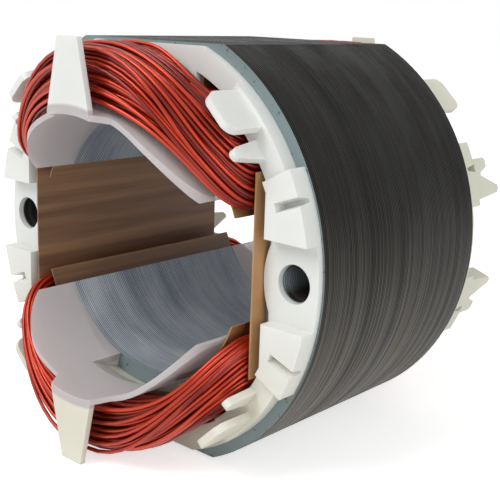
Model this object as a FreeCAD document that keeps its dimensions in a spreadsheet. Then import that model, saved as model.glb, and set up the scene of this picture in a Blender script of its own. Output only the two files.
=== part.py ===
"""Field assembly of a two-pole universal motor: lamination stack, end insulators, field coils, slot liners.

Sub-parts are drawn in the plane of a lamination: X to the right, Y up, Z along the motor's axis with zero in
the middle of the stack. stand_up() then turns each to the frame of the part: X right, the front end towards
-Y, Z up. Lengths are millimetres, angles degrees.
"""
import FreeCAD, Part
import math
import os
import re
import Sketcher

VALUES = {
    # lamination stack
    "core_radius": 46.0,
    "flat_height": 41.4,
    "core_length": 52.5,
    "bore_radius": 27.75,
    "pole_tip_angle": 29.0,
    "pole_tip_thickness": 1.65,
    "shoe_root_height": 29.5,
    "neck_width": 29.0,
    "slot_radius": 38.6,
    "slot_wall": 32.7,
    "screw_spacing": 80.0,
    "screw_hole_radius": 3.5,
    # slot liners
    "liner_thickness": 0.33,
    "liner_clearance": 0.05,
    "liner_edge_height": 10.5,
    "front_collar": 4.0,
    "rear_collar": 1.3,
    "collar_margin": 0.8,
    # end insulator: plate
    "plate_thickness": 1.2,
    "plate_margin": 2.3,
    "ear_margin": 0.4,
    "ear_angle": 28.0,
    "plate_inset": 0.3,
    "flat_margin": 0.5,
    "side_setback": 1.6,
    "hole_bulge_height": 6.5,
    "hole_bulge_radius": 15.0,
    "hole_clearance": 0.2,
    # end insulator: saddle flanges and fingers
    "flange_clearance": 0.05,
    "flange_thickness": 1.1,
    "flange_width": 50.0,
    "flange_height": 17.2,
    "flange_corner": 11.0,
    "root_angle": 18.0,
    "root_setback": 3.4,
    "root_rise": 8.0,
    "finger_base_width": 12.3,
    "finger_tip_width": 5.8,
    "finger_flare": 2.2,
    "finger_overhang": 0.6,
    "finger_face": 20.6,
    "finger_thickness": 1.2,
    # end insulator: rim, coil tabs and pegs
    "rim_width": 5.0,
    "rim_height": 3.2,
    "rim_end_angle": 53.0,
    "tab_angle": 46.0,
    "tab_margin": 0.9,
    "tab_thickness": 1.5,
    "tab_width": 8.8,
    "tab_corner": 2.4,
    "front_tab_height": 11.5,
    "rear_tab_height": 13.5,
    "peg_angle": 36.0,
    "peg_thickness": 1.5,
    "peg_base_width": 5.0,
    "peg_tip_width": 2.2,
    "peg_height": 10.3,
    # end insulator: terminal pockets
    "pocket_height": 4.3,
    "pocket_low": 8.0,
    "pocket_setback": 2.4,
    "pocket_chamfer": 1.7,
    "notch_angle": 20.5,
    "notch_length": 6.1,
    "notch_width": 1.8,
    "notch_root_width": 0.6,
    "notch_floor": 1.3,
    "fork_angle": 18.6,
    "fork_margin": 1.0,
    "fork_depth": 4.4,
    "fork_low_side": 3.6,
    "fork_high_side": 5.9,
    "fork_taper": 1.2,
    "valley_width": 0.6,
    "valley_height": 7.4,
    "short_prong_height": 10.3,
    "tall_prong_height": 13.8,
    "prong_tip": 1.6,
    # field coils
    "coil_clearance": 0.25,
    "coil_inner_radius": 31.8,
    "coil_outer_angle": 22.0,
    "crown_lift": 0.25,
    "crown_low": 2.6,
    "crown_top": 17.5,
    "crown_gap": 0.6,
    "crown_margin": 0.4,
    "crown_squareness": 2.2,
    "crown_spread_angle": 40.0,
    "crown_full_angle": 84.0,
}
TURN_STEPS = 4      # straight stretches of a coil section from its first turn to its last
LAYER_STEPS = 1     # and through its layers
CROWN_STEPS = 7     # sections from the slot's mouth to the middle of the crown

doc = FreeCAD.newDocument("stator")
sheet = doc.addObject("Spreadsheet::Sheet", "Values")
for row, (alias, value) in enumerate(VALUES.items(), start=1):
    sheet.set(f"A{row}", alias)
    sheet.set(f"B{row}", str(value))
    sheet.setAlias(f"B{row}", alias)
doc.recompute()


# ---- helpers -----------------------------------------------------------------------------------------------

def formula(text):
    """The text with each value's name turned into a reference to its cell."""
    return re.sub(r"[a-z]+_\w+", lambda word: "Values." + word.group(0), str(text))


def number(text):
    """What a formula comes to."""
    return float(sheet.evalExpression(formula(text)))


def bind(item, **sizes):
    """Tie properties to formulas; x, y and height are the object's place, turn its angle about the axis."""
    places = {"x": "Placement.Base.x", "y": "Placement.Base.y", "height": "Placement.Base.z",
              "turn": "Placement.Rotation.Angle"}
    if "turn" in sizes:
        item.Placement = FreeCAD.Placement(FreeCAD.Vector(), FreeCAD.Rotation(FreeCAD.Vector(0, 0, 1), 10))
    for name, text in sizes.items():
        item.setExpression(places.get(name, name), formula(text))
    return item


def primitive(kind, name, **sizes):
    return bind(doc.addObject("Part::" + kind, name), **sizes)


def cut(name, base, tool):
    item = doc.addObject("Part::Cut", name)
    item.Base, item.Tool = base, tool
    return item


def common(name, base, tool):
    item = doc.addObject("Part::Common", name)
    item.Base, item.Tool = base, tool
    return item


def fuse(name, *pieces):
    item = doc.addObject("Part::MultiFuse", name)
    item.Shapes = list(pieces)
    item.Refine = True
    return item


def mirror(name, source, normal):
    item = doc.addObject("Part::Mirroring", name)
    item.Source = source
    item.Normal = normal
    return item


def outline(name, corners, standing=False):
    """A closed sketch through corners (x, y) or (x, y, radius), counter-clockwise.

    A radius bends the side that starts at its corner: outward, or inward where the radius is negative.
    Every corner and radius is a constraint bound to the sheet. A standing sketch lies in the XZ plane.
    """
    sketch = doc.addObject("Sketcher::SketchObject", name)
    if standing:
        sketch.Placement = FreeCAD.Placement(FreeCAD.Vector(), FreeCAD.Rotation(FreeCAD.Vector(1, 0, 0), 90))
    points = [FreeCAD.Vector(number(corner[0]), number(corner[1]), 0) for corner in corners]
    ends = []
    for index, corner in enumerate(corners):
        start, stop = points[index], points[(index + 1) % len(points)]
        if len(corner) == 2:
            sketch.addGeometry(Part.LineSegment(start, stop))
            ends.append((1, 2))
            continue
        radius = number(corner[2])
        chord = stop - start
        rise = abs(radius) - math.sqrt(radius ** 2 - chord.Length ** 2 / 4)
        outward = FreeCAD.Vector(chord.y, -chord.x, 0).normalize() * math.copysign(rise, radius)
        sketch.addGeometry(Part.Arc(start, (start + stop) / 2 + outward, stop))
        ends.append((1, 2) if radius > 0 else (2, 1))
    bound = []
    for index, corner in enumerate(corners):
        follower = (index + 1) % len(corners)
        first, last = ends[index]
        sketch.addConstraint(Sketcher.Constraint("Coincident", index, last, follower, ends[follower][0]))
        for way, text in zip(("DistanceX", "DistanceY"), corner):
            held = Sketcher.Constraint(way, -1, 1, index, first, number(text))
            bound.append((sketch.addConstraint(held), text))
        if len(corner) == 3:
            text = f"abs({corner[2]})"
            bound.append((sketch.addConstraint(Sketcher.Constraint("Radius", index, number(text))), text))
    for constraint, text in bound:
        sketch.setExpression(f"Constraints[{constraint}]", formula(text))
    return sketch


def prism(name, sketch, length, **place):
    """The sketch's area pulled up along the axis."""
    item = doc.addObject("Part::Extrusion", name)
    item.Base = sketch
    item.DirMode = "Normal"
    item.Solid = True
    return bind(item, LengthFwd=length, **place)


def upright(name, sketch, radius, depth, angle):
    """A standing sketch pulled outward by depth, its near face at the radius, turned to the angle."""
    item = prism(name, sketch, depth, x=f"({radius}) * cos({angle})", y=f"({radius}) * sin({angle})",
                 turn=f"({angle}) - 90")
    item.Reversed = True
    return item


def sector(name, kind, start, stop, height, **sizes):
    """A slice of a cylinder or cone about the axis, between two angles."""
    return primitive(kind, name, Angle=f"({stop}) - ({start})", turn=start, height=height, **sizes)


def ring_sector(name, inner, outer, height, start, stop):
    """A slice of a tube that stands on the plane of the seat."""
    disc = sector(name + "_disc", "Cylinder", start, stop, "0", Radius=outer, Height=height)
    core = primitive("Cylinder", name + "_core", Radius=inner, Height=height)
    return cut(name, disc, core)


def stand_up(item, label, along="0", about_axis=0, about_upright=0):
    """Turn a finished sub-part from the drawing plane into the frame of the part, and name it."""
    upright_turn = FreeCAD.Rotation(FreeCAD.Vector(0, 0, 1), about_upright)
    axis_turn = FreeCAD.Rotation(FreeCAD.Vector(0, 0, 1), about_axis)
    stand = FreeCAD.Rotation(FreeCAD.Vector(1, 0, 0), 90)
    item.Placement = FreeCAD.Placement(FreeCAD.Vector(), upright_turn * stand * axis_turn)
    item.setExpression("Placement.Base.y", formula(along))
    item.Label = label
    return item


def below(point):
    """The mirror image of a corner in the lower half."""
    return (point[0], f"-({point[1]})")


# ---- lamination stack --------------------------------------------------------------------------------------

NECK_SIDE = "neck_width / 2"
TIP_BACK = "(bore_radius + pole_tip_thickness)"
TIP = (f"{TIP_BACK} * cos(pole_tip_angle)", f"{TIP_BACK} * sin(pole_tip_angle)")
SHOE_ROOT = (NECK_SIDE, "shoe_root_height")
YOKE_AT_NECK = (NECK_SIDE, "sqrt(slot_radius ^ 2 - neck_width ^ 2 / 4)")
YOKE_AT_WALL = ("slot_wall", "sqrt(slot_radius ^ 2 - slot_wall ^ 2)")
HOLE_PLACE = {"x": "screw_spacing / 2"}

slot_room = outline("slot_room", [
    below(TIP),
    below(SHOE_ROOT),
    (*below(YOKE_AT_NECK), "slot_radius"),
    below(YOKE_AT_WALL),
    (*YOKE_AT_WALL, "slot_radius"),
    YOKE_AT_NECK,
    SHOE_ROOT,
    (*TIP, "-" + TIP_BACK),
])


def lamination_stack():
    middle = "-core_length / 2"
    disc = primitive("Cylinder", "sheet_disc", Radius="core_radius", Height="core_length", height=middle)
    band = primitive("Box", "flats", Length="2 * core_radius", Width="2 * flat_height", Height="core_length",
                     x="-core_radius", y="-flat_height", height=middle)
    bore = primitive("Cylinder", "bore", Radius="bore_radius", Height="core_length", height=middle)
    slot = prism("slot", slot_room, "core_length", height=middle)
    mouth = sector("slot_mouth", "Cylinder", "-pole_tip_angle", "pole_tip_angle", middle,
                   Radius=TIP_BACK, Height="core_length")
    hole = primitive("Cylinder", "screw_hole", Radius="screw_hole_radius", Height="core_length",
                     height=middle, **HOLE_PLACE)
    side = fuse("side_openings", slot, mouth, hole)
    openings = fuse("openings", bore, side, mirror("far_side_openings", side, (1, 0, 0)))
    return cut("stack", common("sheet_outline", disc, band), openings)


# ---- slot liners -------------------------------------------------------------------------------------------

def slot_liner(name):
    """Slot paper folded round the wall of a slot, open at the slot's mouth, with a collar at each end."""
    start = "-core_length / 2 - rear_collar"
    length = "core_length + rear_collar + front_collar"
    layers = []
    for part, inset in (("skin", "-liner_clearance"), ("room", "-liner_clearance - liner_thickness")):
        edge = bind(doc.addObject("Part::Offset2D", f"{name}_{part}_edge"), Value=inset)
        edge.Source = slot_room
        edge.Join = "Intersection"
        layers.append(prism(f"{name}_{part}", edge, length, height=start))
    folded = cut(name + "_folded", *layers)
    mouth = primitive("Box", name + "_mouth", Length="(bore_radius + slot_wall) / 2",
                      Width="2 * liner_edge_height", Height=length, y="-liner_edge_height", height=start)
    trims = [mouth]
    collar_end = f"({YOKE_AT_WALL[1]} - collar_margin)"
    for end, low, high in (("front", "core_length / 2", "front_collar"), ("rear", start, "rear_collar")):
        for half, foot in (("upper", collar_end), ("lower", "-slot_radius")):
            trims.append(primitive("Box", f"{name}_{end}_{half}_trim", Length="slot_radius",
                                   Width=f"slot_radius - {collar_end}", Height=high, y=foot, height=low))
    return cut(name, folded, fuse(name + "_trims", *trims))


# ---- end insulators ----------------------------------------------------------------------------------------

PLATE_RADIUS = "(core_radius - plate_margin)"
EAR_RADIUS = "(core_radius - ear_margin)"
PLATE_TOP = "(flat_height - flat_margin)"
PLATE_SIDE = "(slot_wall + side_setback)"
YOKE_EDGE = "(slot_radius + plate_inset)"
NECK_EDGE = "(neck_width / 2 - plate_inset)"
RIM_INNER = "(core_radius - plate_margin - rim_width)"
FLANGE_INNER = "(bore_radius + flange_clearance)"
FLANGE_OUTER = "(bore_radius + flange_clearance + flange_thickness)"
ROOT_EDGE = "(90 - root_angle)"
TIP_EDGE_ANGLE = "(pole_tip_angle + 1)"


def at(radius, angle):
    return (f"{radius} * cos({angle})", f"{radius} * sin({angle})")


def insulator_plate():
    """A quarter of the plate that covers the yoke and the pole, thin against the end of the stack."""
    root = f"({FLANGE_INNER} + root_setback)"
    bulge = f"{PLATE_SIDE} + sqrt(hole_bulge_radius ^ 2 - hole_bulge_height ^ 2) - hole_bulge_radius"
    quarter = outline("plate_outline", [
        (EAR_RADIUS, "0", EAR_RADIUS),
        at(EAR_RADIUS, "ear_angle"),
        (*at(PLATE_RADIUS, "ear_angle"), PLATE_RADIUS),
        (f"sqrt({PLATE_RADIUS} ^ 2 - {PLATE_TOP} ^ 2)", PLATE_TOP),
        ("0", PLATE_TOP),
        ("0", root, "-" + root),
        at(root, ROOT_EDGE),
        (*at(FLANGE_INNER, ROOT_EDGE), "-" + FLANGE_INNER),
        at(FLANGE_INNER, TIP_EDGE_ANGLE),
        at(f"({TIP_BACK} - plate_inset)", TIP_EDGE_ANGLE),
        (NECK_EDGE, "shoe_root_height - plate_inset"),
        (NECK_EDGE, f"sqrt({YOKE_EDGE} ^ 2 - {NECK_EDGE} ^ 2)", "-" + YOKE_EDGE),
        (PLATE_SIDE, f"sqrt({YOKE_EDGE} ^ 2 - {PLATE_SIDE} ^ 2)"),
        (PLATE_SIDE, "hole_bulge_height", "hole_bulge_radius"),
        (bulge, "0"),
    ])
    return prism("plate", quarter, "plate_thickness")


def saddle_flange():
    """Half of the curved flange that holds the crown of a coil off the bore, with its recessed root."""
    wall_angle = f"flange_thickness / {FLANGE_INNER} * 180 / pi"
    side = ring_sector("flange_side", FLANGE_INNER, FLANGE_OUTER, "finger_face", "pole_tip_angle", ROOT_EDGE)
    crest = sector("crest_disc", "Cylinder", ROOT_EDGE, "90", "root_rise", Radius=FLANGE_OUTER,
                   Height="finger_face - root_rise")
    ramp = sector("ramp", "Cone", f"{ROOT_EDGE} - {wall_angle}", "90", "0", Height="root_rise",
                  Radius1=FLANGE_OUTER + " + root_setback", Radius2=FLANGE_OUTER)
    recess = sector("recess", "Cone", ROOT_EDGE, "90", "0", Height="root_rise",
                    Radius1=FLANGE_INNER + " + root_setback", Radius2=FLANGE_INNER)
    rotor_room = primitive("Cylinder", "rotor_room", Radius=FLANGE_INNER, Height="finger_face")
    root = cut("flange_root", fuse("flange_middle", crest, ramp), fuse("flange_hollow", recess, rotor_room))
    shape = prism("flange_shape", outline("flange_outline", [
        ("0", "0"),
        ("flange_width / 2", "0"),
        ("flange_width / 2", "flange_height - flange_corner", "flange_corner"),
        ("flange_width / 2 - flange_corner", "flange_height"),
        ("finger_base_width / 2 + finger_flare", "flange_height"),
        ("finger_base_width / 2", "finger_face"),
        ("0", "finger_face"),
    ], standing=True), "2 * core_radius")
    shape.Symmetric = True
    return common("flange", fuse("flange_blank", side, root), shape)


def finger():
    """Half of the tongue that keeps the crown of the coil from creeping off over the end."""
    foot = FLANGE_INNER + " + flange_thickness / 5"
    end = "flat_height + finger_overhang"
    shape = outline("finger_outline", [
        ("0", foot),
        ("finger_base_width / 2", foot),
        ("finger_tip_width / 2", end),
        ("0", end),
    ])
    return prism("finger", shape, "finger_thickness", height="finger_face - finger_thickness")


def peg():
    """The round-tipped peg that the first wires lean on, on the inner edge of the plate."""
    shape = outline("peg_outline", [
        ("-peg_base_width / 2", "0"),
        ("peg_base_width / 2", "0"),
        ("peg_tip_width / 2", "peg_height - peg_tip_width / 2", "peg_tip_width * 0.52"),
        ("-peg_tip_width / 2", "peg_height - peg_tip_width / 2"),
    ], standing=True)
    return upright("peg", shape, YOKE_EDGE, "peg_thickness", "peg_angle")


def coil_tab(name, tab_height):
    """A flat tab with rounded corners that stands behind the crown of the coil."""
    straight = f"{tab_height} - tab_corner"
    shape = outline(name + "_outline", [
        ("-tab_width / 2", "0"),
        ("tab_width / 2", "0"),
        ("tab_width / 2", straight, "tab_corner"),
        ("tab_width / 2 - tab_corner", tab_height),
        ("-tab_width / 2 + tab_corner", tab_height, "tab_corner"),
        ("-tab_width / 2", straight),
    ], standing=True)
    radius = f"{PLATE_RADIUS} - tab_margin - tab_thickness"
    return upright(name, shape, radius, "tab_thickness", "tab_angle")


def pocket_block():
    """The block beside each screw hole that holds a terminal."""
    side = "(slot_wall + pocket_setback)"
    return prism("pocket", outline("pocket_outline", [
        (side, "pocket_low"),
        (f"sqrt({EAR_RADIUS} ^ 2 - pocket_low ^ 2)", "pocket_low", EAR_RADIUS),
        at(EAR_RADIUS, "ear_angle"),
        at(RIM_INNER, "ear_angle"),
        (side, f"{RIM_INNER} * sin(ear_angle) - pocket_chamfer"),
    ]), "pocket_height")


def notch():
    """The groove for a wire across the block, narrower at its floor."""
    top = "pocket_height + 1"
    slope = "(notch_width - notch_root_width) / 2 / (pocket_height - notch_floor)"
    half_top = f"notch_width / 2 + {slope}"
    shape = outline("notch_outline", [
        ("-notch_root_width / 2", "notch_floor"),
        ("notch_root_width / 2", "notch_floor"),
        (half_top, top),
        (f"-({half_top})", top),
    ], standing=True)
    return upright("notch", shape, "core_radius - notch_length", "notch_length", "notch_angle")


def terminal_fork():
    """The forked wall of a rear pocket: a short prong, a valley and a tall prong."""
    valley = "valley_width / 2"
    tall_side = "fork_high_side - fork_taper"
    short_side = "-fork_low_side + fork_taper / 2"
    shape = outline("fork_outline", [
        ("-fork_low_side", "0"),
        ("fork_high_side", "0"),
        (tall_side, "tall_prong_height - prong_tip / 2"),
        (f"{tall_side} - prong_tip / 2", "tall_prong_height"),
        (f"{tall_side} - prong_tip", "tall_prong_height"),
        (valley, "valley_height"),
        ("-" + valley, "valley_height"),
        (f"{short_side} + prong_tip", "short_prong_height"),
        (short_side, "short_prong_height"),
        ("-fork_low_side", "short_prong_height - prong_tip / 2"),
    ], standing=True)
    radius = "core_radius - fork_margin - fork_depth"
    return upright("fork", shape, radius, "fork_depth", "fork_angle")


def end_insulator(name, shared, *own):
    """Both insulators: what they share and their own tabs and pockets, mirrored into four quarters."""
    hole = primitive("Cylinder", name + "_hole", Radius="screw_hole_radius + hole_clearance",
                     Height="pocket_height", **HOLE_PLACE)
    quarter = cut(name + "_quarter", fuse(name + "_blank", *shared, *own), hole)
    half = fuse(name + "_half", quarter, mirror(name + "_far_quarter", quarter, (1, 0, 0)))
    return fuse(name, half, mirror(name + "_lower_half", half, (0, 1, 0)))


# ---- field coils -------------------------------------------------------------------------------------------

def smooth(share):
    share = min(max(share, 0.0), 1.0)
    return share * share * (3 - 2 * share)


class Winding:
    """The room that a coil fills: turn 0 lies against the pole and turn 1 farthest round the slot;
    layer 0 is next to the bore and layer 1 next to the yoke. The legs run straight past the end plates."""

    def __init__(self):
        gap = number("liner_clearance + liner_thickness + coil_clearance")
        tip = FreeCAD.Vector(number(TIP[0]), number(TIP[1]), 0)
        root = FreeCAD.Vector(number(NECK_SIDE), number("shoe_root_height"), 0)
        back = (root - tip).normalize()
        self.facing = FreeCAD.Vector(back.y, -back.x, 0)
        self.shoe = self.facing.dot(tip) + gap
        self.wall = number("slot_wall") - gap
        self.yoke = number("slot_radius") - gap
        self.lift = number("plate_thickness + crown_lift")
        neck = number(NECK_SIDE) + gap
        height = (self.shoe - self.facing.x * neck) / self.facing.y
        self.first_angle = math.degrees(math.atan2(height, neck))

    def slot_span(self, angle):
        """Inner and outer radius of the winding inside the slot, at an angle."""
        across, up = math.cos(math.radians(angle)), math.sin(math.radians(angle))
        shoe = self.shoe / (self.facing.x * across + self.facing.y * up)
        return max(shoe, number("coil_inner_radius")), min(self.yoke, self.wall / across)

    def point(self, turn, layer, travel):
        """A place on a wire: travel 0 where it leaves the slot, 1 over the middle of the pole."""
        start = self.first_angle - (self.first_angle - number("coil_outer_angle")) * turn
        power = 2 / number("crown_squareness")
        sweep = travel * math.pi / 2
        angle = 90 - (90 - start) * max(math.cos(sweep), 0.0) ** power
        crest = number("crown_low") + number("crown_top - crown_low") * turn
        rise = self.lift + (crest - self.lift) * math.sin(sweep) ** power
        ramp = max(1 - rise / number("root_rise"), 0.0) * number("root_setback")
        inner_crown = number(FLANGE_OUTER + " + crown_gap") + ramp
        outer_crown = number("flat_height - crown_margin")
        opening = max(start, number("crown_spread_angle"))
        spread = smooth((angle - opening) / (number("crown_full_angle") - opening))
        inner, outer = self.slot_span(start)
        inner += (inner_crown - inner) * spread
        outer += (outer_crown - outer) * spread
        radius = inner + (outer - inner) * layer
        return FreeCAD.Vector(radius * math.cos(math.radians(angle)), radius * math.sin(math.radians(angle)),
                              number("core_length / 2") + rise)

    def section(self, travel, side=1):
        """The closed edge of one cross-section; side -1 is the far slot's."""
        turns = [step / TURN_STEPS for step in range(TURN_STEPS + 1)]
        layers = [step / LAYER_STEPS for step in range(LAYER_STEPS + 1)]
        places = [(turn, 0) for turn in turns] + [(1, layer) for layer in layers[1:]]
        places += [(turn, 1) for turn in turns[-2::-1]] + [(0, layer) for layer in layers[-2:0:-1]]
        corners = [self.point(turn, layer, travel) for turn, layer in places]
        corners = [FreeCAD.Vector(corner.x * side, corner.y, corner.z) for corner in corners]
        return Part.makePolygon(corners + corners[:1])


def field_coil():
    """Two legs through the slots, joined by a crown over each end of the pole."""
    winding = Winding()
    travels = [step / CROWN_STEPS for step in range(CROWN_STEPS + 1)]
    edges = [winding.section(travel) for travel in travels]
    edges += [winding.section(travel, -1) for travel in travels[-2::-1]]
    crown = Part.makeLoft(edges, True, True)
    across = FreeCAD.Vector(0, 0, -number("core_length") - 2 * winding.lift)
    legs = [Part.Face(edge).extrude(across) for edge in (edges[0], edges[-1])]
    rear = crown.mirror(FreeCAD.Vector(), FreeCAD.Vector(0, 0, 1))
    return crown.fuse([rear, *legs]).removeSplitter()


# ---- assembly ----------------------------------------------------------------------------------------------

shared = [insulator_plate(), saddle_flange(), finger(), peg(),
          ring_sector("rim", RIM_INNER, PLATE_RADIUS, "rim_height", "ear_angle", "rim_end_angle")]
block = pocket_block()
groove = notch()
front = end_insulator("front", shared, coil_tab("front_tab", "front_tab_height"),
                      cut("front_pocket", block, groove))
rear = end_insulator("rear", shared, coil_tab("rear_tab", "rear_tab_height"),
                     cut("rear_pocket", fuse("forked_block", block, terminal_fork()), groove))

coils = []
coil_shape = field_coil()
for label, angle in (("upper_field_coil", 0), ("lower_field_coil", 180)):
    coil = doc.addObject("Part::Feature", label)
    coil.Shape = coil_shape
    coils.append(stand_up(coil, label, about_axis=angle))

sub_parts = [
    stand_up(lamination_stack(), "lamination_stack"),
    stand_up(front, "front_end_insulator", along="-core_length / 2"),
    stand_up(rear, "rear_end_insulator", along="core_length / 2", about_upright=180),
    stand_up(slot_liner("liner_right"), "slot_liner_right"),
    stand_up(slot_liner("liner_left"), "slot_liner_left", about_axis=180),
    *coils,
]
doc.recompute()

for item in doc.Objects:
    if {"Invalid", "Error"} & set(item.State):
        raise RuntimeError(f"{item.Name} failed: {item.State}")
for item in sub_parts:
    if item.Shape.isNull() or not item.Shape.isValid() or len(item.Shape.Solids) != 1:
        raise RuntimeError(f"{item.Label} is not one valid solid")

os.makedirs("parts", exist_ok=True)
for item in sub_parts:
    item.Shape.exportStep(f"parts/{item.Label}.step")
    print(f"{item.Label}: {item.Shape.Volume / 1000:.3f} cm3")
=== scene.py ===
"""Looks of a wound two-pole motor stator: wire turns, sheet edges, moulded nylon and slot paper.

Metres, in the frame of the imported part: X right, the front end towards -Y, Z up, the motor's axis along Y.
"""
import math
import random
import bpy
from mathutils import Matrix, Vector


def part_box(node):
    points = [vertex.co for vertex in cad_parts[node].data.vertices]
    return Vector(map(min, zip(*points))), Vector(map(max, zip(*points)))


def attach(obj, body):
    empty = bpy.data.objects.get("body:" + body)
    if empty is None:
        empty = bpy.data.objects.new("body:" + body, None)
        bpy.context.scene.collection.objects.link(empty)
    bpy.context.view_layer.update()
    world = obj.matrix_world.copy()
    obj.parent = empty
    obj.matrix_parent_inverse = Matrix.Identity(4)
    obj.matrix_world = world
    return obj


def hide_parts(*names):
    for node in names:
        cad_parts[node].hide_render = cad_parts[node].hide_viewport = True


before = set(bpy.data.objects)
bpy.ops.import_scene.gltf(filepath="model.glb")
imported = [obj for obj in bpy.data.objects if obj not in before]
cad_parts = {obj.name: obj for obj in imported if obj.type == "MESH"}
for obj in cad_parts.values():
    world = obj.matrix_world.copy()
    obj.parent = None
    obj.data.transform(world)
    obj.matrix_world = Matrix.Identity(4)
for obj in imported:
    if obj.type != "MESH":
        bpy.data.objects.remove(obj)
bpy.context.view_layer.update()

MM = 0.001

# ---- sizes of the object -----------------------------------------------------------------------------------

STACK_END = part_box("lamination_stack")[1][1]
COIL_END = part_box("upper_field_coil")[1][1]
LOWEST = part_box("front_end_insulator")[0][2]
SHEET = 0.5 * MM
WIRE_RADIUS = 0.42 * MM
BORE_ZONE = (36 * MM, 38 * MM)          # radii between which the bore's sheet edges give way to the outside's
FLANGE_ZONE = (29.2 * MM, 30.0 * MM)    # radii between which a thin saddle flange gives way to the end plate


# ---- camera and light --------------------------------------------------------------------------------------

def camera():
    """Level with the upper coil, ahead and to the right of the front end, with a slight roll."""
    yaw, pitch, roll = (math.radians(angle) for angle in (41.26, 13.98, -2.07))
    ahead = Vector((-math.sin(yaw) * math.cos(pitch), math.cos(yaw) * math.cos(pitch), -math.sin(pitch)))
    level = Vector((math.cos(yaw), math.sin(yaw), 0))
    down = ahead.cross(level)
    right = math.cos(roll) * level + math.sin(roll) * down
    up = math.sin(roll) * level - math.cos(roll) * down
    lens = bpy.data.cameras.new("camera")
    lens.lens = 69.31
    lens.sensor_width = 36
    lens.clip_start = 0.01
    item = bpy.data.objects.new("camera", lens)
    turn = Matrix((right, up, -ahead)).transposed().to_4x4()
    item.matrix_world = Matrix.Translation((0.14398, -0.15829, 0.04770)) @ turn
    bpy.context.scene.collection.objects.link(item)
    bpy.context.scene.camera = item


def area_light(name, place, size, power):
    """A rectangle of light that faces the middle of the object."""
    data = bpy.data.lights.new(name, "AREA")
    data.shape = "RECTANGLE"
    data.size, data.size_y = size
    data.energy = power
    item = bpy.data.objects.new(name, data)
    item.location = place
    item.rotation_euler = (-Vector(place)).to_track_quat("-Z", "Y").to_euler()
    bpy.context.scene.collection.objects.link(item)


# ---- shader maths ------------------------------------------------------------------------------------------

class Value:
    """A socket that can be used in arithmetic; each operator adds one Math node to its tree."""

    def __init__(self, shader, socket):
        self.shader, self.socket = shader, socket

    def _math(self, operation, first, second):
        return self.shader.node("ShaderNodeMath", {"operation": operation}, [first, second])

    def __add__(self, other):
        return self._math("ADD", self, other)

    def __radd__(self, other):
        return self._math("ADD", other, self)

    def __sub__(self, other):
        return self._math("SUBTRACT", self, other)

    def __rsub__(self, other):
        return self._math("SUBTRACT", other, self)

    def __mul__(self, other):
        return self._math("MULTIPLY", self, other)

    def __rmul__(self, other):
        return self._math("MULTIPLY", other, self)

    def __truediv__(self, other):
        return self._math("DIVIDE", self, other)

    def __pow__(self, other):
        return self._math("POWER", self, other)

    def __abs__(self):
        return self._math("ABSOLUTE", self, 0.0)


class Shader:
    """A material's node tree around one Principled BSDF."""

    def __init__(self, name, **constants):
        self.material = bpy.data.materials.new(name)
        self.material.use_nodes = True
        self.tree = self.material.node_tree
        self.surface = self.tree.nodes["Principled BSDF"]
        for socket, value in constants.items():
            self.surface.inputs[socket.replace("_", " ")].default_value = value

    def node(self, kind, settings=None, inputs=None, output=0):
        """One node: its settings, then its sockets' values or links by name or place."""
        item = self.tree.nodes.new(kind)
        for name, value in (settings or {}).items():
            setattr(item, name, value)
        if isinstance(inputs, list):
            inputs = dict(enumerate(inputs))
        for key, value in (inputs or {}).items():
            if isinstance(value, Value):
                self.tree.links.new(value.socket, item.inputs[key])
            else:
                item.inputs[key].default_value = value
        return Value(self, item.outputs[output])

    def link(self, value, socket):
        """Feed one socket of the surface."""
        self.tree.links.new(value.socket, self.surface.inputs[socket])

    def place(self):
        return self.node("ShaderNodeTexCoord", output="Object")

    def parts(self, vector):
        return [self.node("ShaderNodeSeparateXYZ", inputs=[vector], output=axis) for axis in "XYZ"]

    def noise(self, vector, scale, detail=2.0, roughness=0.5):
        return self.node("ShaderNodeTexNoise", inputs={"Vector": vector, "Scale": scale, "Detail": detail,
                                                       "Roughness": roughness})

    def stretched(self, vector, scale):
        return self.node("ShaderNodeVectorMath", {"operation": "MULTIPLY"}, [vector, scale])

    def span(self, value, low, high, to_low=0.0, to_high=1.0):
        """Value carried smoothly from one range to another and held at its ends."""
        return self.node("ShaderNodeMapRange", {"interpolation_type": "SMOOTHSTEP"}, {
            "Value": value, "From Min": low, "From Max": high, "To Min": to_low, "To Max": to_high})

    def mix(self, share, first, second):
        """First colour where share is 0, second where it is 1."""
        item = self.tree.nodes.new("ShaderNodeMix")
        item.data_type = "RGBA"
        for socket, value in ((item.inputs[0], share), (item.inputs[6], first), (item.inputs[7], second)):
            if isinstance(value, Value):
                self.tree.links.new(value.socket, socket)
            else:
                socket.default_value = value
        return Value(self, item.outputs[2])

    def bump(self, height, distance, strength=1.0):
        relief = self.node("ShaderNodeBump", inputs={"Height": height, "Distance": distance,
                                                     "Strength": strength})
        self.link(relief, "Normal")


def colour(red, green, blue):
    """Linear colour of an 8-bit one."""
    def linear(level):
        level /= 255
        return level / 12.92 if level <= 0.04045 else ((level + 0.055) / 1.055) ** 2.4
    return (linear(red), linear(green), linear(blue), 1.0)


# ---- materials ---------------------------------------------------------------------------------------------

SEEN_BY = ("Is Camera Ray", "Is Glossy Ray", "Is Transmission Ray")     # rays that meet a plain white studio


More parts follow.
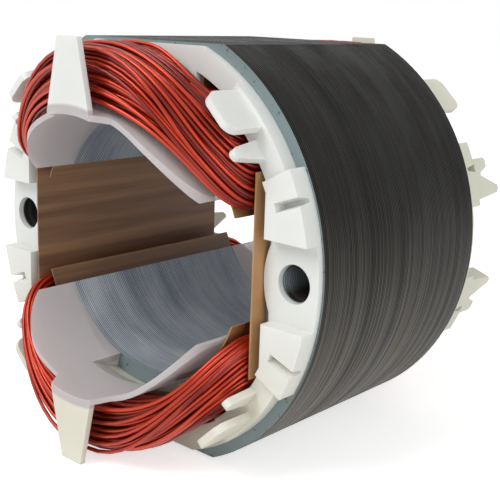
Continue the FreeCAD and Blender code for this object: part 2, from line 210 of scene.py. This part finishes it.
def sheet_steel():
    """Edges of the stamped sheets round the outside and in the bore, smooth sheet on the two ends; the
    outside's edges have painted shade at the top and painted light towards the bottom.
    """
    shader = Shader("sheet_steel", Metallic=0.2, Roughness=0.42, Specular_IOR_Level=0.1)
    place = shader.place()
    x, y, z = shader.parts(place)
    radius = (x * x + z * z) ** 0.5
    facing = shader.node("ShaderNodeNewGeometry", output="True Normal")
    end_face = shader.span(abs(shader.parts(facing)[1]), 0.6, 0.8)
    inside = shader.span(radius, *BORE_ZONE, 1.0, 0.0)
    order = shader.node("ShaderNodeMath", {"operation": "FLOOR"}, [y / SHEET, 0.0])
    tone = shader.node("ShaderNodeTexWhiteNoise", {"noise_dimensions": "1D"}, {"W": order})
    ripple = shader.node("ShaderNodeMath", {"operation": "SINE"}, [y * (2 * math.pi / SHEET), 0.0])
    patches = shader.noise(shader.stretched(place, (1.0, 2.5, 1.0)), 60.0, 3.0)
    edge = shader.span(tone * 0.4 + patches * 0.25 + ripple * 0.12 + 0.175, 0.15, 0.85)
    # Painted light and shade: the outside's sheet edges are painted near-black at the top and much lighter
    # towards the bottom.
    shaded_upper_edges = shader.mix(edge, colour(5, 5, 4), colour(38, 36, 33))
    lit_lower_edges = shader.mix(edge, colour(36, 34, 32), colour(140, 135, 127))
    # Painted light: the share of the lighter copy grows towards the bottom of the stack.
    painted_light_share = shader.span(z, -42 * MM, 18 * MM, 1.0, 0.0)
    outer = shader.mix(painted_light_share, shaded_upper_edges, lit_lower_edges)
    grain = shader.span(ripple * 0.3 + patches + tone * 0.15, 0.2, 0.95)
    bore = shader.mix(grain, colour(100, 111, 128), colour(194, 200, 205))
    specks = shader.span(shader.noise(place, 900.0, 2.0), 0.30, 0.36, 0.55, 0.0)
    face = shader.mix(specks, colour(128, 142, 144), colour(60, 66, 68))
    body = shader.mix(inside, outer, bore)
    shader.link(shader.mix(end_face, body, face), "Base Color")
    shader.link(shader.span(patches, 0.3, 0.7, 0.38, 0.58), "Roughness")
    shader.bump(ripple * (1 - end_face) + tone * (1 - end_face) * 0.8, 0.06 * MM)
    return shader.material


def nylon(name, tint):
    """Natural nylon: milky, a little see-through where it is thin, with flow marks; the thin flange is
    painted a little pink, a painted glow of the red coil through it.
    """
    shader = Shader(name, Subsurface_Weight=0.25, Subsurface_Scale=4 * MM, Subsurface_Radius=(1.0, 0.9, 0.8))
    place = shader.place()
    x, _, z = shader.parts(place)
    radius = (x * x + z * z) ** 0.5
    clouds = shader.noise(place, 70.0, 3.0)
    thin = shader.span(radius, *FLANGE_ZONE, 1.0, 0.0)
    deeper = [level - 14 for level in tint]
    upper = shader.mix(clouds, colour(*tint), colour(*deeper))
    warm = shader.mix(clouds, colour(226, 224, 208), colour(212, 208, 190))
    milky = shader.mix(shader.span(z, -35 * MM, 0.0, 1.0, 0.0), upper, warm)
    # Painted light: the flange's milky white is tinted a little pink for the red coil's light through the
    # thin nylon.
    flange_with_painted_glow = shader.mix(clouds, colour(228, 223, 223), colour(212, 205, 205))
    shader.link(shader.mix(thin, milky, flange_with_painted_glow), "Base Color")
    shader.link(1 - thin * 0.36, "Alpha")
    shader.link(shader.span(clouds, 0.3, 0.7, 0.36, 0.48), "Roughness")
    shader.bump(shader.noise(place, 500.0, 2.0), 0.04 * MM, 0.5)
    return shader.material


def slot_paper():
    """Pressed brown paper with grain along the slot; the right liner's front edge is paler."""
    shader = Shader("slot_paper", Roughness=0.55)
    place = shader.place()
    x, y, _ = shader.parts(place)
    along = shader.noise(shader.stretched(place, (260.0, 9.0, 260.0)), 1.0, 4.0, 0.6)
    bands = shader.noise(shader.stretched(place, (60.0, 4.0, 60.0)), 1.0, 2.0)
    share = shader.span(along * 0.55 + bands * 0.45, 0.32, 0.68)
    pressed = shader.mix(share, colour(92, 62, 42), colour(172, 130, 94))
    front_edge = shader.span(y, -STACK_END - 0.4 * MM, -STACK_END + 0.2 * MM, 1.0, 0.0)
    right_side = shader.span(x, 0.0, 1 * MM)
    shader.link(shader.mix(front_edge * right_side * 0.75, pressed, colour(182, 138, 90)), "Base Color")
    shader.bump(along, 0.05 * MM)
    return shader.material


def enamelled_wire():
    """Red varnish over copper, its tone a little different from wire to wire."""
    shader = Shader("enamelled_wire", Roughness=0.33, Metallic=0.6, Coat_Weight=0.22, Coat_Roughness=0.12)
    tone = shader.node("ShaderNodeAttribute", {"attribute_name": "wire_tone"}, output="Fac")
    clouds = shader.noise(shader.place(), 120.0, 2.0)
    share = shader.span(tone * 0.6 + clouds * 0.4, 0.15, 0.85)
    shader.link(shader.mix(share, colour(104, 14, 6), colour(192, 54, 20)), "Base Color")
    return shader.material


def white_floor():
    """Matt white that shows as white to the camera and to reflections, and keeps the object's shadow."""
    shader = Shader("white_floor", Roughness=0.9, Base_Color=(0.86, 0.86, 0.86, 1.0), Emission_Strength=0.62)
    camera_ray, glossy_ray, transmission_ray = (
        shader.node("ShaderNodeLightPath", output=ray) for ray in SEEN_BY)
    seen = camera_ray + glossy_ray + transmission_ray
    shader.link(shader.mix(seen, (0.0, 0.0, 0.0, 1.0), (1.0, 1.0, 1.0, 1.0)), "Emission Color")
    return shader.material


# ---- coil turns --------------------------------------------------------------------------------------------

class Winding:
    """The path of every wire: turn 0 lies against the pole and turn 1 farthest round the slot;
    layer 0 is next to the bore and layer 1 next to the yoke."""

    first_angle = 63.0              # degrees round the motor's axis from the right, for turn 0 in a slot
    last_angle = 22.0
    yoke = 37.97 * MM
    wall = 32.07 * MM
    shoe = 29.78 * MM
    facing = (0.806, 0.592)
    inner_radius = 31.8 * MM
    crown_inner = 29.5 * MM
    crown_outer = 41.0 * MM
    lift = 1.45 * MM
    crown_low = 2.6 * MM
    crown_top = COIL_END - STACK_END
    root_rise = 8.0 * MM
    root_setback = 3.4 * MM
    squareness = 2.2
    spread_angle = 40.0
    full_angle = 84.0

    def slot_span(self, angle):
        """Least and greatest radius of the winding room at this angle of the slot."""
        across, up = math.cos(math.radians(angle)), math.sin(math.radians(angle))
        shoe = self.shoe / (self.facing[0] * across + self.facing[1] * up)
        return max(shoe, self.inner_radius), min(self.yoke, self.wall / across)

    def point(self, turn, layer, travel):
        """A place on a wire over the front pole: travel 0 and 2 at the slots' mouths, 1 in the middle."""
        turn, layer = min(max(turn, 0.0), 1.0), min(max(layer, 0.0), 1.0)
        start = self.first_angle - (self.first_angle - self.last_angle) * turn
        sweep = min(travel, 2 - travel) * math.pi / 2
        angle = 90 - (90 - start) * max(math.cos(sweep), 0.0) ** (2 / self.squareness)
        crest = self.crown_low + (self.crown_top - self.crown_low) * turn
        rise = self.lift + (crest - self.lift) * math.sin(sweep) ** (2 / self.squareness)
        ramp = max(1 - rise / self.root_rise, 0.0) * self.root_setback
        opening = max(start, self.spread_angle)
        share = min(max((angle - opening) / (self.full_angle - opening), 0.0), 1.0)
        share = share * share * (3 - 2 * share)     # eased at both ends
        inner, outer = self.slot_span(start)
        inner += (self.crown_inner + ramp - inner) * share
        outer += (self.crown_outer - outer) * share
        radius = inner + (outer - inner) * layer
        side = 1 if travel <= 1 else -1
        return Vector((side * radius * math.cos(math.radians(angle)), -STACK_END - rise,
                       radius * math.sin(math.radians(angle))))


def wander(chance, size):
    """A smooth random course that is repeated after 1: a few waves of random height and phase."""
    waves = 3
    parts = [(wave, chance.uniform(-1, 1) * size / wave, chance.uniform(0, 2 * math.pi))
             for wave in range(1, waves + 1)]
    return lambda place: sum(height * math.sin(2 * math.pi * wave * place + phase)
                             for wave, height, phase in parts)


def turn_course(winding, turn, layer, chance):
    """The closed course of one wire round the pole: front crown, slot, rear crown, slot."""
    steps = 22      # to the middle of a crown
    inset = 0.06    # share of the bundle kept free for the wires' own thickness
    drift_turn, drift_layer = wander(chance, 0.05), wander(chance, 0.16)
    course = []
    for end in (1, -1):
        for step in range(2 * steps + 1):
            travel = step / steps
            place = (step / (2 * steps) + (0 if end == 1 else 1)) / 2
            loose = math.sin(math.pi * travel / 2) ** 0.5
            spot = winding.point(inset / 2 + (1 - inset) * (turn + drift_turn(place) * loose),
                                 inset + (1 - 2 * inset) * (layer + drift_layer(place) * loose), travel)
            course.append(Vector((spot.x * end, spot.y * end, spot.z)))
    return course


def wire_tree():
    """Geometry Nodes: every course becomes a round wire with a tone of its own."""
    tree = bpy.data.node_groups.new("wound_wire", "GeometryNodeTree")
    face = tree.interface
    face.new_socket("Geometry", in_out="INPUT", socket_type="NodeSocketGeometry")
    for name, kind in (("Wire Radius", "NodeSocketFloat"), ("Sides", "NodeSocketInt"),
                       ("Seed", "NodeSocketInt"), ("Finish", "NodeSocketMaterial")):
        face.new_socket(name, in_out="INPUT", socket_type=kind)
    face.new_socket("Geometry", in_out="OUTPUT", socket_type="NodeSocketGeometry")

    def add(kind, **settings):
        item = tree.nodes.new(kind)
        for name, value in settings.items():
            setattr(item, name, value)
        return item

    given, result = add("NodeGroupInput"), add("NodeGroupOutput")
    chance = add("FunctionNodeRandomValue", data_type="FLOAT")
    tone = add("GeometryNodeStoreNamedAttribute", data_type="FLOAT", domain="CURVE")
    tone.inputs["Name"].default_value = "wire_tone"
    section = add("GeometryNodeCurvePrimitiveCircle")
    sweep = add("GeometryNodeCurveToMesh")
    smooth = add("GeometryNodeSetShadeSmooth")
    whole = add("GeometryNodeRealizeInstances")
    finish = add("GeometryNodeSetMaterial")
    for start, stop in (
            (given.outputs["Geometry"], tone.inputs["Geometry"]),
            (given.outputs["Seed"], chance.inputs["Seed"]),
            (chance.outputs[1], tone.inputs["Value"]),
            (given.outputs["Wire Radius"], section.inputs["Radius"]),
            (given.outputs["Sides"], section.inputs["Resolution"]),
            (tone.outputs["Geometry"], sweep.inputs["Curve"]),
            (section.outputs["Curve"], sweep.inputs["Profile Curve"]),
            (sweep.outputs["Mesh"], smooth.inputs["Geometry"]),
            (smooth.outputs["Geometry"], whole.inputs["Geometry"]),
            (whole.outputs["Geometry"], finish.inputs["Geometry"]),
            (given.outputs["Finish"], finish.inputs["Material"]),
            (finish.outputs["Geometry"], result.inputs["Geometry"])):
        tree.links.new(start, stop)
    return tree


def wound_coil(name, node, tree, material, seed, flip):
    """The wires of one coil as one mesh, without those that others hide.

    flip is 1 for the upper pole; -1 turns the coil half a turn about the motor's axis, to the lower one.
    """
    chance = random.Random(seed)
    winding = Winding()
    curve = bpy.data.curves.new(name + "_courses", "CURVE")
    curve.dimensions = "3D"
    columns, layers = 29, 7
    hidden_turns, hidden_layers = (0.1, 0.72), (0.2, 0.62)      # shares of the bundle that others cover
    for column in range(columns):
        for row in range(layers):
            turn = column / (columns - 1)
            layer = (row + (0.5 if column % 2 else 0.0)) / (layers - 0.5)
            if hidden_turns[0] < turn < hidden_turns[1] and hidden_layers[0] < layer < hidden_layers[1]:
                continue
            course = turn_course(winding, turn, layer, chance)
            spline = curve.splines.new("POLY")
            spline.points.add(len(course) - 1)
            for point, spot in zip(spline.points, course):
                point.co = (spot.x * flip, spot.y, spot.z * flip, 1.0)
            spline.use_cyclic_u = True
    source = bpy.data.objects.new(name + "_courses", curve)
    bpy.context.scene.collection.objects.link(source)
    modifier = source.modifiers.new("wound_wire", "NODES")
    modifier.node_group = tree
    inputs = {item.name: item.identifier for item in tree.interface.items_tree if item.in_out == "INPUT"}
    modifier[inputs["Wire Radius"]] = WIRE_RADIUS
    modifier[inputs["Sides"]] = 6
    modifier[inputs["Seed"]] = seed
    modifier[inputs["Finish"]] = material
    shown = source.evaluated_get(bpy.context.evaluated_depsgraph_get())
    mesh = bpy.data.meshes.new_from_object(shown, preserve_all_data_layers=True)
    bpy.data.objects.remove(source)
    piece = bpy.data.objects.new(name, mesh)
    bpy.context.scene.collection.objects.link(piece)
    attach(piece, "root")
    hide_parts(node)


# ---- making ------------------------------------------------------------------------------------------------

def dress(node, material):
    """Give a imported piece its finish."""
    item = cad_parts[node]
    item.data.materials.clear()
    item.data.materials.append(material)


def white_world():
    """White where the camera, a reflection or a see-through surface looks; a plain soft light otherwise."""
    world = bpy.data.worlds.new("studio")
    bpy.context.scene.world = world
    world.use_nodes = True
    nodes, links = world.node_tree.nodes, world.node_tree.links
    nodes.clear()
    path = nodes.new("ShaderNodeLightPath")
    seen = path.outputs[SEEN_BY[0]]
    for ray in SEEN_BY[1:]:
        either = nodes.new("ShaderNodeMath")
        either.operation = "MAXIMUM"
        links.new(seen, either.inputs[0])
        links.new(path.outputs[ray], either.inputs[1])
        seen = either.outputs[0]
    strength = nodes.new("ShaderNodeMapRange")
    strength.inputs["To Min"].default_value = 0.42
    strength.inputs["To Max"].default_value = 1.0
    links.new(seen, strength.inputs["Value"])
    background = nodes.new("ShaderNodeBackground")
    background.inputs["Color"].default_value = (1.0, 1.0, 1.0, 1.0)
    links.new(strength.outputs["Result"], background.inputs["Strength"])
    output = nodes.new("ShaderNodeOutputWorld")
    links.new(background.outputs[0], output.inputs["Surface"])


def floor():
    """A wide plane just under the lowest edge of the insulators."""
    mesh = bpy.data.meshes.new("floor")
    half, level = 1.5, LOWEST - 0.1 * MM
    mesh.from_pydata([(-half, -half, level), (half, -half, level), (half, half, level), (-half, half, level)],
                     [], [(0, 1, 2, 3)])
    item = bpy.data.objects.new("floor", mesh)
    mesh.materials.append(white_floor())
    bpy.context.scene.collection.objects.link(item)


camera()
white_world()
floor()
area_light("key", (-0.20, -0.55, 0.60), (0.5, 0.5), 4.2)
area_light("fill", (0.60, -0.25, 0.20), (0.4, 0.5), 1.4)

wire = enamelled_wire()
tree = wire_tree()
dress("lamination_stack", sheet_steel())
dress("front_end_insulator", nylon("white_nylon", (232, 234, 230)))
dress("rear_end_insulator", nylon("pale_nylon", (226, 226, 208)))
paper = slot_paper()
for side in ("left", "right"):
    dress(f"slot_liner_{side}", paper)
wound_coil("upper_wires", "upper_field_coil", tree, wire, 3, 1)
wound_coil("lower_wires", "lower_field_coil", tree, wire, 8, -1)

bpy.context.scene.view_settings.view_transform = "Standard"
